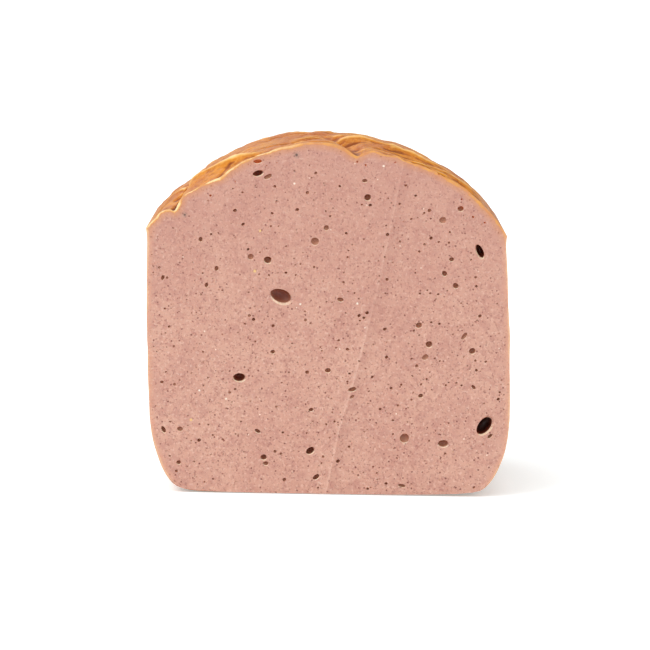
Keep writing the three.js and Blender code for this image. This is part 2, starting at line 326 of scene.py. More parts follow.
@dataclass
class BakedSkin:
    """The outside of the loaf: its pan walls, its rim and its folded crown.

    Attributes:
        front: Y of the cut face.
        rim: Height of the crust's lip over the pan.
        overrun: How far the loaf runs on past the cut before it is sliced.
        lip_crease: How sharp the lip stays when the skin is rounded.
        rounding: Levels of rounding.
        fine_depth: How far behind the cut the crown's mesh is twice as fine.
        wrinkle_count: How many small wrinkles the crown has.
        lean: How far the loaf leans to the left for each unit of height.
        upright: The height at which that lean shifts nothing.
    """

    front: float
    rim: float = 83.4 * MM
    overrun: float = 5 * MM
    lip_crease: float = 0.75
    rounding: int = 2
    fine_depth: float = 30 * MM
    wrinkle_count: int = 90
    lean: float = 0.036
    upright: float = 52 * MM

    def build(self) -> tuple[Object, Object]:
        """Makes the closed loaf, before it is sliced.

        Returns:
            The loaf, and the bowls of the frame's air pockets.
        """
        loaf, bowls = self.part_pores(self.merged_copy())
        self.run_on(loaf)
        self.round_off(loaf)
        self.press_creases(loaf)
        self.roughen(loaf)
        return loaf, bowls

    def merged_copy(self) -> Object:
        """Copies the frame's node and merges its loose triangles.

        Returns:
            The copy.
        """
        node = frame["nodes"][NODE]
        loaf = node.copy()
        loaf.data = node.data.copy()
        loaf.name = "loaf_in_work"
        bpy.context.collection.objects.link(loaf)
        with editing(loaf, "VERT"):
            bpy.ops.mesh.select_all(action="SELECT")
            bpy.ops.mesh.remove_doubles(threshold=1e-6)
        loaf.data.materials.clear()
        return loaf

    def part_pores(self, loaf: Object) -> tuple[Object, Object]:
        """Opens the flat face and parts the pores' bowls from the skin.

        Args:
            loaf: The merged copy.

        Returns:
            The open skin, and the open bowls.
        """
        near = 1e-6
        pick_faces(loaf, lambda face: face.normal.y < -0.999 and face.center.y < self.front + near)
        with editing(loaf):
            bpy.ops.mesh.delete(type="FACE")
        pick_faces(loaf, lambda face: face.center.z < near)
        with editing(loaf):
            bpy.ops.mesh.select_linked(delimit=set())
            bpy.ops.mesh.select_all(action="INVERT")
            bpy.ops.mesh.separate(type="SELECTED")
        bowls = next(piece for piece in bpy.context.selected_objects if piece is not loaf)
        return loaf, bowls

    def run_on(self, loaf: Object) -> None:
        """Runs the skin on past the cut and closes it.

        Args:
            loaf: The open skin.
        """
        same_quad = math.radians(60)
        with editing(loaf, "EDGE"):
            bpy.ops.mesh.select_all(action="SELECT")
            bpy.ops.mesh.tris_convert_to_quads(face_threshold=same_quad, shape_threshold=same_quad)
            for _ in range(2):
                bpy.ops.mesh.select_all(action="DESELECT")
                bpy.ops.mesh.select_non_manifold(extend=False, use_multi_face=False)
                bpy.ops.mesh.extrude_edges_move(
                    TRANSFORM_OT_translate={"value": (0, -self.overrun / 2, 0)})
            bpy.ops.mesh.edge_face_add()
        for _ in Finish:
            loaf.data.materials.append(None)
        for face in loaf.data.polygons:
            face.material_index = Finish.SKIN.value

    def round_off(self, loaf: Object) -> None:
        """Rounds the faceted skin, keeps the lip's edge crisp, and refines the crown by the cut.

        Args:
            loaf: The closed skin.
        """
        lip_height, wall_side, above_lip = 0.5 * MM, 54 * MM, 1.5 * MM
        lip = set()
        for vertex in loaf.data.vertices:
            if abs(vertex.co.z - self.rim) < lip_height and abs(vertex.co.x) > wall_side:
                lip.add(vertex.index)
        with editing(loaf, "EDGE"):
            bpy.ops.mesh.select_all(action="DESELECT")
        for edge in loaf.data.edges:
            edge.select = edge.vertices[0] in lip and edge.vertices[1] in lip
        with editing(loaf, "EDGE"):
            bpy.ops.transform.edge_crease(value=self.lip_crease)
        modify(loaf, "SUBSURF", levels=self.rounding, render_levels=self.rounding)
        low, behind = self.rim + above_lip, self.front + self.fine_depth
        pick_faces(loaf, lambda face: face.center.z > low and face.center.y < behind)
        with editing(loaf):
            bpy.ops.mesh.subdivide(number_cuts=1)

    def crown_share(self, where: np.ndarray) -> np.ndarray:
        """How freely the crown may fold at each corner: 0 on the walls and at the lip."""
        return smooth_step(where[:, 2], self.rim + 0.8 * MM, self.rim + 4 * MM)

    def wrinkles(self) -> list[Fold]:
        """Small creases and ridges over the whole crown, in millimetres.

        They fan out over the crown, and are always the same ones.

        Returns:
            The folds.
        """
        draw = random.Random(7)
        middle_heading, fan, heading_spread = 8, 0.5, 26
        folds = []
        for _ in range(self.wrinkle_count):
            x, behind = draw.uniform(-52, 52), draw.uniform(-2, 86)
            heading = math.radians(draw.gauss(middle_heading - fan * x, heading_spread))
            run = draw.uniform(4, 13)
            bend = draw.uniform(-0.25, 0.25) * run
            ahead = Vector((math.cos(heading), math.sin(heading)))
            across = Vector((-ahead.y, ahead.x))
            middle = Vector((x, behind))
            knots = (middle - ahead * run, middle + across * bend, middle + ahead * run)
            depth = draw.choice((1, 1, -1)) * draw.uniform(0.25, 0.6)
            narrow = draw.uniform(0.8, 1.2)
            folds.append(Fold(tuple(tuple(knot) for knot in knots), depth, (narrow, 2 * narrow)))
        return folds

    def press_creases(self, loaf: Object) -> None:
        """Presses the creases into the crown and draws its ridges up.

        Args:
            loaf: The closed skin.
        """
        where = places(loaf)
        lean = self.lean * (where[:, 2] - self.upright)
        x = (where[:, 0] + lean) / MM
        behind = (where[:, 1] - self.front) / MM
        relief = np.zeros(len(where))
        for fold in (*CREASES, *self.wrinkles()):
            relief += fold.profile(x, behind)
        relief *= self.crown_share(where)
        for name, height, down in (("creases", relief, -1), ("ridges", -relief, 1)):
            deepest = max(height.max(), 1e-6)
            give_weights(loaf, name, np.clip(height / deepest, 0, 1))
            modify(loaf, "DISPLACE", vertex_group=name, direction="NORMAL", mid_level=0,
                   strength=down * deepest * MM)

    def roughen(self, loaf: Object) -> None:
        """Gives the crown its swellings and the pan walls their slight unevenness.

        Args:
            loaf: The closed skin.
        """
        where = places(loaf)
        crown = self.crown_share(where)
        clear_of_floor = smooth_step(where[:, 2], 0, 14 * MM)
        clear_of_lip = 1 - smooth_step(where[:, 2], self.rim - 7 * MM, self.rim - 2.5 * MM)
        give_weights(loaf, "crown", crown)
        give_weights(loaf, "walls", clear_of_floor * clear_of_lip * (1 - crown))
        # Where, what kind of noise, and its grain and height in millimetres.
        relief = (
            ("crown", "CLOUDS", 14.0, 1.1),
            ("crown", "CLOUDS", 4.5, 0.45),
            ("crown", "STUCCI", 1.8, 0.16),
            ("walls", "CLOUDS", 22.0, 0.9),
            ("walls", "STUCCI", 3.0, 0.14),
        )
        for group, kind, grain, height in relief:
            texture = bpy.data.textures.new(f"{group}_{kind.lower()}", kind)
            texture.noise_scale = grain * MM
            modify(loaf, "DISPLACE", vertex_group=group, texture=texture, texture_coords="LOCAL",
                   direction="NORMAL", mid_level=0.5, strength=height * MM)
            bpy.data.textures.remove(texture)


# ---- The cut face -----------------------------------------------------------------------------


@dataclass(frozen=True)
class Pore:
    """An air pocket that the knife opened. Its lengths are in millimetres.

    Attributes:
        x: Its place across the loaf.
        z: Its height.
        width: Its longer side, before it is turned.
        height: Its other side.
        depth: How far it reaches behind the cut.
        turn: How far it is turned, in degrees.
    """

    x: float
    z: float
    width: float
    height: float
    depth: float
    turn: float = 0.0


# Pockets too small for the frame, listed one by one: across, up, and width.
SMALL_PORES = (
    (-7.3, 95.8, 1.2), (-10.4, 90.4, 1.2), (-30.0, 89.8, 1.3), (17.8, 53.0, 1.3), (-27.4, 85.5, 1.3),
    (-40.4, 16.6, 1.3), (47.7, 57.7, 1.2), (18.1, 83.0, 1.2), (18.2, 68.8, 1.1), (31.8, 82.1, 1.2),
    (3.7, 10.6, 1.4), (-13.2, 4.4, 1.3), (-16.3, 13.4, 1.1), (31.1, 90.8, 1.2), (-52.4, 35.0, 1.2),
    (-23.7, 55.4, 1.2), (6.1, 46.4, 1.2), (-17.5, 53.5, 1.1), (14.1, 37.7, 1.0), (28.1, 41.5, 1.1),
    (54.1, 31.3, 1.1), (19.1, 3.7, 1.1), (12.5, 92.2, 1.2), (12.1, 58.1, 1.2), (9.6, 57.2, 1.1),
    (-6.5, 38.9, 1.3), (-25.0, 56.6, 1.0), (-14.4, 12.7, 1.0), (-48.4, 34.3, 1.0), (-30.9, 32.0, 1.0),
    (-29.2, 33.1, 0.9), (-47.5, 6.6, 1.0), (-25.7, 77.6, 1.0), (-17.6, 97.6, 1.0), (-4.8, 102.0, 1.0),
    (-18.3, 89.1, 1.0), (5.1, 83.2, 0.9), (-13.7, 70.4, 1.0), (4.5, 67.7, 0.9), (-7.3, 55.5, 1.0),
    (11.1, 56.5, 1.0), (3.3, 49.2, 0.9), (18.5, 44.1, 1.1), (6.9, 38.7, 0.9), (6.3, 36.1, 0.8),
    (-16.1, 27.7, 0.9), (16.8, 27.5, 1.0), (2.4, 23.3, 0.8), (-13.9, 19.5, 0.9), (7.2, 15.3, 0.9),
    (-1.0, 12.0, 0.9), (33.9, 102.4, 0.9), (23.6, 98.6, 0.9), (26.7, 95.4, 0.9), (44.9, 89.0, 0.9),
    (48.6, 87.3, 0.8), (25.5, 88.0, 0.9), (29.8, 80.1, 0.9), (28.2, 77.8, 0.9), (46.1, 69.9, 0.9),
    (46.4, 67.1, 0.9), (28.7, 64.5, 0.9), (34.4, 64.4, 0.8), (35.0, 55.0, 0.9), (27.0, 52.7, 0.8),
    (49.9, 43.2, 0.9), (47.0, 40.4, 1.0), (42.4, 35.5, 0.8), (54.5, 33.5, 0.8), (20.1, 34.3, 1.0),
    (-53.6, 71.4, 0.9), (-51.1, 68.2, 0.9), (-51.7, 58.4, 0.8), (-50.3, 52.7, 0.9), (-37.4, 82.2, 0.8),
    (2.8, 98.0, 0.9), (10.2, 6.2, 0.7), (13.3, 1.9, 0.9), (20.9, 24.0, 0.8), (47.0, 2.9, 0.9),
)


@dataclass
class CutFace:
    """The flat slice, with its air pockets.

    Attributes:
        front: Y of the cut face.
        grid: Size of the face's own grid.
        scatter: How many tiny pockets are strewn between the placed ones.
        tiny: Widths of the tiny pockets, smallest and largest.
        margin: How far a tiny pocket stays from the crust.
        mouth_width: How much wider a large pocket's mouth is than the frame's bowl.
        mouth_height: How much taller it is.
    """

    front: float
    grid: float = 1.4 * MM
    scatter: int = 330
    tiny: tuple[float, float] = (0.45 * MM, 0.85 * MM)
    margin: float = 1.3 * MM
    mouth_width: float = 1.04
    mouth_height: float = 1.12

    def knife_block(self) -> Object:
        """The block that the knife leaves, with a fine grid on its front.

        Returns:
            The closed block.
        """
        low, high = CAD_BOX
        room = 12 * MM
        width, height = high.x - low.x + 2 * room, high.z - low.z + 2 * room
        bpy.ops.mesh.primitive_grid_add(
            x_subdivisions=round(width / self.grid), y_subdivisions=round(height / self.grid), size=1,
            location=(0, high.y + room, (low.z + high.z) / 2), rotation=(math.radians(90), 0, 0))
        block = bpy.context.active_object
        block.name = "knife_block"
        block.scale = (width, height, 1)
        settle(block)
        with editing(block):
            bpy.ops.mesh.select_all(action="SELECT")
            bpy.ops.mesh.extrude_region_move(
                TRANSFORM_OT_translate={"value": (0, self.front - high.y - room, 0)})
        with editing(block, "EDGE"):
            bpy.ops.mesh.select_all(action="DESELECT")
            bpy.ops.mesh.select_non_manifold(extend=False)
            bpy.ops.mesh.edge_face_add()
            bpy.ops.mesh.select_all(action="SELECT")
            bpy.ops.mesh.normals_make_consistent(inside=False)
        return block

    def large_pores(self, bowls: Object) -> list[Pore]:
        """Measures the frame's bowls, which are used up.

        Args:
            bowls: The frame's open bowls, as one mesh.

        Returns:
            One pore for each bowl.
        """
        with editing(bowls):
            bpy.ops.mesh.select_all(action="SELECT")
            bpy.ops.mesh.separate(type="LOOSE")
        pores = []
        for bowl in list(bpy.context.selected_objects):
            where = places(bowl)
            rim = where[where[:, 1] < self.front + 1e-6][:, (0, 2)] / MM
            centre = rim.mean(axis=0)
            sizes, axes = np.linalg.eigh(np.cov((rim - centre).T, bias=True))
            height, width = 2 * np.sqrt(2 * sizes) * (self.mouth_height, self.mouth_width)
            depth = (where[:, 1].max() - self.front) / MM
            turn = math.degrees(math.atan2(axes[1, 1], axes[0, 1]))
            turn = (turn + 90) % 180 - 90
            pores.append(Pore(*centre, width, height, depth, turn))
            bpy.data.objects.remove(bowl)
        return pores

    def pocket(self, segments: int, rings: int, lip: bool) -> Object:
        """The pocket that others are copies of: 1 across and 1 deep, with its mouth at y = 0.

        Args:
            segments: How many sides it has.
            rings: How many rings it has from end to end.
            lip: Whether its mouth has a lip, which sags to the lower right.

        Returns:
            The closed pocket, which reaches out in front of its mouth.
        """
        neck, lip_mouth = -0.45, -0.52
        lip_step, lip_flare, lip_middle = (0.08, -0.07, -0.16), 1.18, (0.08, neck, -0.16)
        end_step, end_flare, end_middle = (0.08, -0.35, -0.16), 1.1, (0.16, neck, -0.32)
        bpy.ops.mesh.primitive_uv_sphere_add(segments=segments, ring_count=rings, radius=1,
                                             location=(0, 0, 0))
        pocket = bpy.context.active_object
        pocket.name = "pocket"
        with editing(pocket, "EDGE"):
            bpy.ops.mesh.select_all(action="SELECT")
            bpy.ops.transform.rotate(value=math.radians(90), orient_axis="X", center_override=(0, 0, 0))
            bpy.ops.mesh.bisect(plane_co=(0, neck, 0), plane_no=(0, -1, 0), clear_outer=True)
            bpy.ops.mesh.select_all(action="DESELECT")
            bpy.ops.mesh.select_non_manifold(extend=False)
            if lip:
                bpy.ops.mesh.extrude_edges_move(TRANSFORM_OT_translate={"value": lip_step})
                bpy.ops.transform.resize(value=(lip_flare, 1, lip_flare), center_override=lip_middle)
            bpy.ops.mesh.extrude_edges_move(TRANSFORM_OT_translate={"value": end_step})
            bpy.ops.transform.resize(value=(end_flare, 1, end_flare), center_override=end_middle)
            bpy.ops.mesh.edge_face_add()
        mouth = lip_mouth if lip else neck
        pocket.location = (0, -mouth, 0)
        settle(pocket)
        across = 1 / (2 * math.sqrt(1 - neck * neck))
        pocket.scale = (across, 1 / (1 - mouth), across)
        settle(pocket)
        return pocket

    def small_pores(self, loaf: Object) -> list[Pore]:
        """The listed small pockets, and tiny ones strewn over the rest of the face.

        Args:
            loaf: The sliced loaf with its large pockets, which the strewn ones stay clear of.

        Returns:
            The pockets.
        """
        draw = random.Random(23)
        face = BVHTree.FromObject(loaf, bpy.context.evaluated_depsgraph_get())
        chosen: list[Pore] = []
        for x, z, width in SMALL_PORES:
            squash, turn = draw.uniform(0.7, 0.95), draw.gauss(8, 22)
            chosen.append(Pore(x, z, width, width * squash, width * draw.uniform(0.5, 1.1), turn))
        low, high = CAD_BOX
        while len(chosen) < len(SMALL_PORES) + self.scatter:
            x, z = draw.uniform(low.x, high.x), draw.uniform(low.z, high.z)
            width = self.tiny[0] + (self.tiny[1] - self.tiny[0]) * draw.random() ** 2
            squash, turn = draw.uniform(0.65, 1.0), draw.gauss(8, 30)
            if self.is_clear(face, x, z, width) and self.is_apart(chosen, x, z, width):
                size = width / MM
                chosen.append(Pore(x / MM, z / MM, size, size * squash, size * 0.7, turn))
        return chosen

    def is_clear(self, face: BVHTree, x: float, z: float, width: float) -> bool:
        """Whether the face is whole at a place and around it, out to the margin.

        Args:
            face: The sliced loaf.
            x: The place across the loaf.
            z: Its height.
            width: The width of the pocket that would lie there.

        Returns:
            Whether a pocket may lie there.
        """
        room = self.margin + width / 2
        before, dip, looks = 20 * MM, 0.4 * MM, 8
        for step in range(looks + 1):
            angle = step * math.tau / looks
            reach = room if step < looks else 0
            beside, above = reach * math.cos(angle), reach * math.sin(angle)
            start = Vector((x + beside, self.front - before, z + above))
            hit = face.ray_cast(start, Vector((0, 1, 0)))[0]
            if hit is None or abs(hit.y - self.front) > dip:
                return False
        return True

    def is_apart(self, chosen: list[Pore], x: float, z: float, width: float) -> bool:
        """Whether a new pocket would stay apart from the ones chosen so far.

        Args:
            chosen: The pockets chosen so far.
            x: The new one's place across the loaf.
            z: Its height.
            width: Its width.

        Returns:
            Whether it touches none of them.
        """
        wall = 0.25 * MM
        for pore in chosen:
            gap = math.hypot(pore.x * MM - x, pore.z * MM - z)
            if gap < (pore.width * MM + width) / 2 + wall:
                return False
        return True

    def pocket_tool(self, pocket: Object, pores: list[Pore]) -> Object:
        """One tool that holds a copy of a pocket for each pore.

        Args:
            pocket: The pocket to copy, which is used up.
            pores: Where the copies go.

        Returns:
            The tool.
        """
        copies = []
        for pore in pores:
            copy = pocket.copy()
            copy.data = pocket.data.copy()
            bpy.context.collection.objects.link(copy)
            turn = Matrix.Rotation(-math.radians(pore.turn), 4, "Y")
            size = Matrix.Diagonal((pore.width * MM, pore.depth * MM, pore.height * MM, 1))
            place = Matrix.Translation((pore.x * MM, self.front, pore.z * MM))
            copy.matrix_world = place @ turn @ size
            copies.append(copy)
        bpy.data.objects.remove(pocket)
        tool = join(copies)
        settle(tool)
        return tool

    def cut(self, loaf: Object, bowls: Object) -> int:
        """Slices the loaf and opens its air pockets.

        Args:
            loaf: The closed loaf.
            bowls: The frame's bowls.

        Returns:
            How many small pockets were added.
        """
        cut_with(loaf, self.knife_block(), "INTERSECT")
        large_pocket = self.pocket(segments=20, rings=14, lip=True)
        cut_with(loaf, self.pocket_tool(large_pocket, self.large_pores(bowls)), "DIFFERENCE")
        pores = self.small_pores(loaf)
        small_pocket = self.pocket(segments=8, rings=6, lip=False)
        cut_with(loaf, self.pocket_tool(small_pocket, pores), "DIFFERENCE")
        self.sharpen(loaf)
        return len(pores)

    def sharpen(self, loaf: Object) -> None:
        """Keeps the edge between the flat face and all that leaves it sharp.

        Args:
            loaf: The sliced loaf.
        """
        near, straight = 2e-6, -0.9999
        pick_faces(loaf, lambda face: face.normal.y < straight and abs(face.center.y - self.front) < near)
        with editing(loaf):
            bpy.ops.mesh.region_to_loop()
            bpy.ops.mesh.mark_sharp()


# ---- What the finishes read from the surface --------------------------------------------------


# The mark that the knife left down the face: up and across, in millimetres.
KNIFE_MARK = ((0, 0), (21, 4), (37, 8.6), (62, 14.5), (81, 18.3), (105, 22.6), (125, 27))


@dataclass
class SurfaceFacts:
    """What each corner of the finished piece tells the finishes.

    The facts are:
        skin_distance: How far the skin is, in millimetres.
        hollow: How deep the crust sinks there, from about -1 on a ridge to 1 in a crease.
        baked: 1 on the open crown, 0 on the pan walls.
        knife: How far to the right of the knife's mark the place is, in millimetres.

    Attributes:
        rim: Height of the crust's lip over the pan.
        near_steps: How many edges away the near surroundings reach.
        far_steps: How many edges away the far ones reach.
        near_weight: How much the near surroundings count.
        far_weight: How much the far ones count.
        usual_hollow: How far the hollow usually is from 0 on the crown.
        lip_fade: The share of the hollow that is taken away by the lip.
    """

    rim: float
    near_steps: int = 6
    far_steps: int = 40
    near_weight: float = 2.0
    far_weight: float = 0.8
    usual_hollow: float = 0.6
    lip_fade: float = 0.6

    def sinking(self, loaf: Object) -> np.ndarray:
        """How strongly each corner sinks below its surroundings, near and farther.

        Args:
            loaf: The skin before it is sliced.

        Returns:
            Two columns, one for the near surroundings and one for the far ones.
        """
        where = places(loaf)
        normals = np.array([vertex.normal for vertex in loaf.data.vertices])
        edges = np.empty(2 * len(loaf.data.edges), np.int64)
        loaf.data.edges.foreach_get("vertices", edges)
        ends = edges.reshape(-1, 2)
        neighbours = np.bincount(edges, minlength=len(where))[:, None]
        lengths = np.linalg.norm(where[ends[:, 0]] - where[ends[:, 1]], axis=1) / MM
        spacing = np.bincount(edges, np.repeat(lengths, 2), len(where)) / neighbours[:, 0]
        level = where.copy()
        found = []
        for step in range(1, self.far_steps + 1):
            total = np.zeros_like(level)
            np.add.at(total, ends[:, 0], level[ends[:, 1]])
            np.add.at(total, ends[:, 1], level[ends[:, 0]])
            level = total / neighbours
            if step in (self.near_steps, self.far_steps):
                found.append(((level - where) * normals).sum(axis=1) / MM / spacing)
        return np.stack(found, axis=1)

    def write(self, piece: Object, loaf: Object) -> None:
        """Writes the facts on the finished piece.

        Args:
            piece: The sliced piece.
            loaf: The skin before it was sliced.
        """
        where = places(piece)
        skin = self.skin_tree(piece)
        distance = [skin.find_nearest(Vector(corner))[3] / MM for corner in where]
        baked = smooth_step(where[:, 2], self.rim - 2.6 * MM, self.rim + 0.4 * MM)
        lookup = KDTree(len(loaf.data.vertices))
        for vertex in loaf.data.vertices:
            lookup.insert(vertex.co, vertex.index)
        lookup.balance()
        sinking = self.sinking(loaf)[[lookup.find(corner)[1] for corner in where]]
        hollow = sinking[:, 0] * self.near_weight + sinking[:, 1] * self.far_weight
        hollow *= self.usual_hollow / hollow[baked > 0.99].std()
        by_lip = 1 - smooth_step(where[:, 2], self.rim + 1.5 * MM, self.rim + 4 * MM)
        mark = np.interp(where[:, 2] / MM, *zip(*KNIFE_MARK))
        self.attach(piece, SKIN_DISTANCE, np.array(distance))
        self.attach(piece, HOLLOW, hollow * (1 - self.lip_fade * by_lip))
        self.attach(piece, BAKED, baked)
        self.attach(piece, KNIFE, where[:, 0] / MM - mark)

    def skin_tree(self, piece: Object) -> BVHTree:
        """Prepares the search for the nearest place on the skin.

        Args:
            piece: The sliced piece.

        Returns:
            A search tree over the skin's faces alone.
        """
        skin = [face for face in piece.data.polygons if face.material_index == Finish.SKIN.value]
        corners = [vertex.co for vertex in piece.data.vertices]
        return BVHTree.FromPolygons(corners, [face.vertices[:] for face in skin])

    def attach(self, piece: Object, name: str, values: np.ndarray) -> None:
        """Writes one number for each corner under a name."""
        attribute = piece.data.attributes.new(name, "FLOAT", "POINT")
        attribute.data.foreach_set("value", values.astype(np.float32))


# ---- Finishes ---------------------------------------------------------------------------------


@dataclass
class Wiring:
    """Adds nodes to a material or a node group and joins them.

    Attributes:
        tree: The node tree that they go into.
    """

    tree: NodeTree

    def feed(self, socket: NodeSocket, value: object) -> None:
        """Gives an input its value, or links it to another node's output.

        Args:
            socket: The input.
            value: The value, or the output to link.
        """
        if isinstance(value, NodeSocket):
            self.tree.links.new(value, socket)
        else:
            socket.default_value = value

    def node(self, kind: str, inputs: dict[str | int, object] | None = None, **settings: object) -> Node:
        """Adds one node.

        Args:
            kind: The node's type, without its ShaderNode prefix.
            inputs: Values or sockets for its inputs, by name or place.
            **settings: The node's own settings.

        Returns:
            The node.
        """
        node = self.tree.nodes.new(f"ShaderNode{kind}")
        for name, value in settings.items():
            setattr(node, name, value)
        for name, value in (inputs or {}).items():
            self.feed(node.inputs[name], value)
        return node

    def maths(self, operation: str, *values: object) -> NodeSocket:
        """One step of arithmetic, such as ADD or MULTIPLY_ADD."""
        return self.node("Math", dict(enumerate(values)), operation=operation).outputs[0]

    def times(self, first: object, second: object) -> NodeSocket:
        """Multiplies two values."""
        return self.maths("MULTIPLY", first, second)

    def vector(self, operation: str, inputs: dict[str | int, object]) -> NodeSocket:
        """One step of arithmetic on vectors."""
        return self.node("VectorMath", inputs, operation=operation).outputs[0]

    def rise(self, value: object, start: float | NodeSocket, end: float | NodeSocket,
             low: float = 0, high: float = 1) -> NodeSocket:
        """Goes smoothly from one number to another as a value goes from start to end.

        Args:
            value: The value to follow.
            start: Where it gives the first number. It may be above the end.
            end: Where it gives the second number.
            low: The first number.
            high: The second number.

        Returns:
            The number.
        """
        inputs = {"Value": value, "From Min": start, "From Max": end, "To Min": low, "To Max": high}
        return self.node("MapRange", inputs, interpolation_type="SMOOTHSTEP").outputs["Result"]

    def blend(self, share: object, under: object, over: object) -> NodeSocket:
        """Lays one colour over another."""
        node = self.node("Mix", {0: share, 6: under, 7: over}, data_type="RGBA")
        return node.outputs[2]

    def tint(self, under: object, over: object, mask: NodeSocket, share: object) -> NodeSocket:
        """Lays one colour over another where a mask is, and at most by a share."""
        return self.blend(self.times(mask, share), under, over)

    def group(self, kind: NodeTree, **inputs: object) -> Node:
        """Places a node group.

        Args:
            kind: The group.
            **inputs: Values or sockets for its inputs, by name.

        Returns:
            The group's node.
        """
        node = self.tree.nodes.new("ShaderNodeGroup")
        node.node_tree = kind
        for name, value in inputs.items():
            self.feed(node.inputs[name], value)
        return node

    def mask(self, kind: NodeTree, **inputs: object) -> NodeSocket:
        """Places a node group and gives its mask."""
        return self.group(kind, **inputs).outputs["Mask"]

    def fact(self, name: str) -> NodeSocket:
        """Reads one of the surface's facts."""
        return self.node("Attribute", attribute_name=name).outputs["Fac"]


class Patterns:
    """The node groups that both finishes share. Their lengths are in millimetres.

    Attributes:
        place: Object coordinates in millimetres, slightly wobbled.
        mottle: Soft patches.
        specks: Small separate spots.
        grain: The fine unevenness of minced meat.
    """

    def __init__(self) -> None:
        """Builds each group once."""
        self.place = self.build_place()
        self.mottle = self.build_mottle()
        self.specks = self.build_specks()
        self.grain = self.build_grain()

    def start(self, name: str, takes: dict[str, float | None],
              gives: tuple[str, ...]) -> tuple[Wiring, Node, Node]:
        """Opens a new group.

        Args:
            name: The group's name.
            takes: Its inputs, with their usual values. None stands for a vector.
            gives: Its outputs, all plain values but Place, which is a vector.

        Returns:
            The wiring, and the nodes of the group's inputs and outputs.
        """
        tree = bpy.data.node_groups.new(name, "ShaderNodeTree")
        for label, usual in takes.items():
            kind = "NodeSocketVector" if usual is None else "NodeSocketFloat"
            socket = tree.interface.new_socket(name=label, in_out="INPUT", socket_type=kind)
            if usual is not None:
                socket.default_value = usual
        for label in gives:
            kind = "NodeSocketVector" if label == "Place" else "NodeSocketFloat"
            tree.interface.new_socket(name=label, in_out="OUTPUT", socket_type=kind)
        return Wiring(tree), tree.nodes.new("NodeGroupInput"), tree.nodes.new("NodeGroupOutput")

    def build_place(self) -> NodeTree:
        """Turns object coordinates into millimetres and wobbles them slightly.

        Returns:
            The group.
        """
        takes = {"Place": None, "Wobble": 0.4, "Size": 1.5}
        wiring, given, result = self.start("place", takes, ("Place", "Across", "Behind", "Up"))
        scaled = wiring.vector("SCALE", {0: given.outputs["Place"], "Scale": 1 / MM})
        parts = wiring.node("SeparateXYZ", {0: scaled})
        scale = wiring.maths("DIVIDE", 1.0, given.outputs["Size"])
        noise = wiring.node("TexNoise", {"Vector": scaled, "Scale": scale, "Detail": 2.0})
        centred = wiring.vector("SUBTRACT", {0: noise.outputs["Color"], 1: (0.5, 0.5, 0.5)})
        wobble = wiring.vector("SCALE", {0: centred, "Scale": given.outputs["Wobble"]})
        wiring.feed(result.inputs["Place"], wiring.vector("ADD", {0: scaled, 1: wobble}))
        for axis, label in (("X", "Across"), ("Y", "Behind"), ("Z", "Up")):
            wiring.feed(result.inputs[label], parts.outputs[axis])
        return wiring.tree

    def build_mottle(self) -> NodeTree:
        """Soft patches.

        Returns:
            The group.
        """
        takes = {"Place": None, "Size": 6.0, "Sharpness": 0.12, "Level": 0.5, "Detail": 4.0}
        wiring, given, result = self.start("mottle", takes, ("Mask",))
        scale = wiring.maths("DIVIDE", 1.0, given.outputs["Size"])
        inputs = {"Vector": given.outputs["Place"], "Scale": scale, "Detail": given.outputs["Detail"],
                  "Roughness": 0.58}
        noise = wiring.node("TexNoise", inputs)
        low = wiring.maths("SUBTRACT", given.outputs["Level"], given.outputs["Sharpness"])
        high = wiring.maths("ADD", given.outputs["Level"], given.outputs["Sharpness"])
        wiring.feed(result.inputs["Mask"], wiring.rise(noise.outputs["Fac"], low, high))
        return wiring.tree

    def build_specks(self) -> NodeTree:
        """Small separate spots of different sizes.

        Returns:
            The group.
        """
        takes = {"Place": None, "Spacing": 1.5, "Radius": 0.3, "Share": 0.5, "Softness": 0.12}
        wiring, given, result = self.start("specks", takes, ("Mask",))
        scale = wiring.maths("DIVIDE", 1.0, given.outputs["Spacing"])
        cells = wiring.node("TexVoronoi", {"Vector": given.outputs["Place"], "Scale": scale})
        parts = wiring.node("SeparateColor", {0: cells.outputs["Color"]})
        away = wiring.times(cells.outputs["Distance"], given.outputs["Spacing"])
        smallest, spread = 0.4, 0.8
        grown = wiring.maths("MULTIPLY_ADD", parts.outputs["Green"], spread, smallest)
        radius = wiring.times(grown, given.outputs["Radius"])
        outer = wiring.maths("ADD", radius, given.outputs["Softness"])
        shown = wiring.maths("LESS_THAN", parts.outputs["Red"], given.outputs["Share"])
        wiring.feed(result.inputs["Mask"], wiring.times(wiring.rise(away, outer, radius), shown))
        return wiring.tree

    def build_grain(self) -> NodeTree:
        """The fine unevenness of minced meat.

        Returns:
            The group.
        """
        wiring, given, result = self.start("grain", {"Place": None, "Size": 0.8}, ("Height",))
        place = given.outputs["Place"]
        scale = wiring.maths("DIVIDE", 1.0, given.outputs["Size"])
        noise = wiring.node("TexNoise", {"Vector": place, "Scale": scale, "Detail": 5.0, "Roughness": 0.62})
        cells = wiring.node("TexVoronoi", {"Vector": place, "Scale": scale}, feature="SMOOTH_F1")
        cell_share = 0.5
        height = wiring.maths("MULTIPLY_ADD", cells.outputs["Distance"], cell_share, noise.outputs["Fac"])
        wiring.feed(result.inputs["Height"], height)
        return wiring.tree


def new_material(name: str) -> tuple[Material, Wiring, Node]:
    """Makes a material.

    Args:
        name: Its name.

    Returns:
        The material, its wiring and its shader.
    """
    material = bpy.data.materials.new(name)
    material.use_nodes = True
    return material, Wiring(material.node_tree), material.node_tree.nodes["Principled BSDF"]


class Fleck(Enum):
    """What a single grain in the meat is, by its colour."""

    PEPPER = srgb(46, 40, 34)
    FAT = srgb(244, 232, 214)
    MUSTARD = srgb(226, 190, 116)


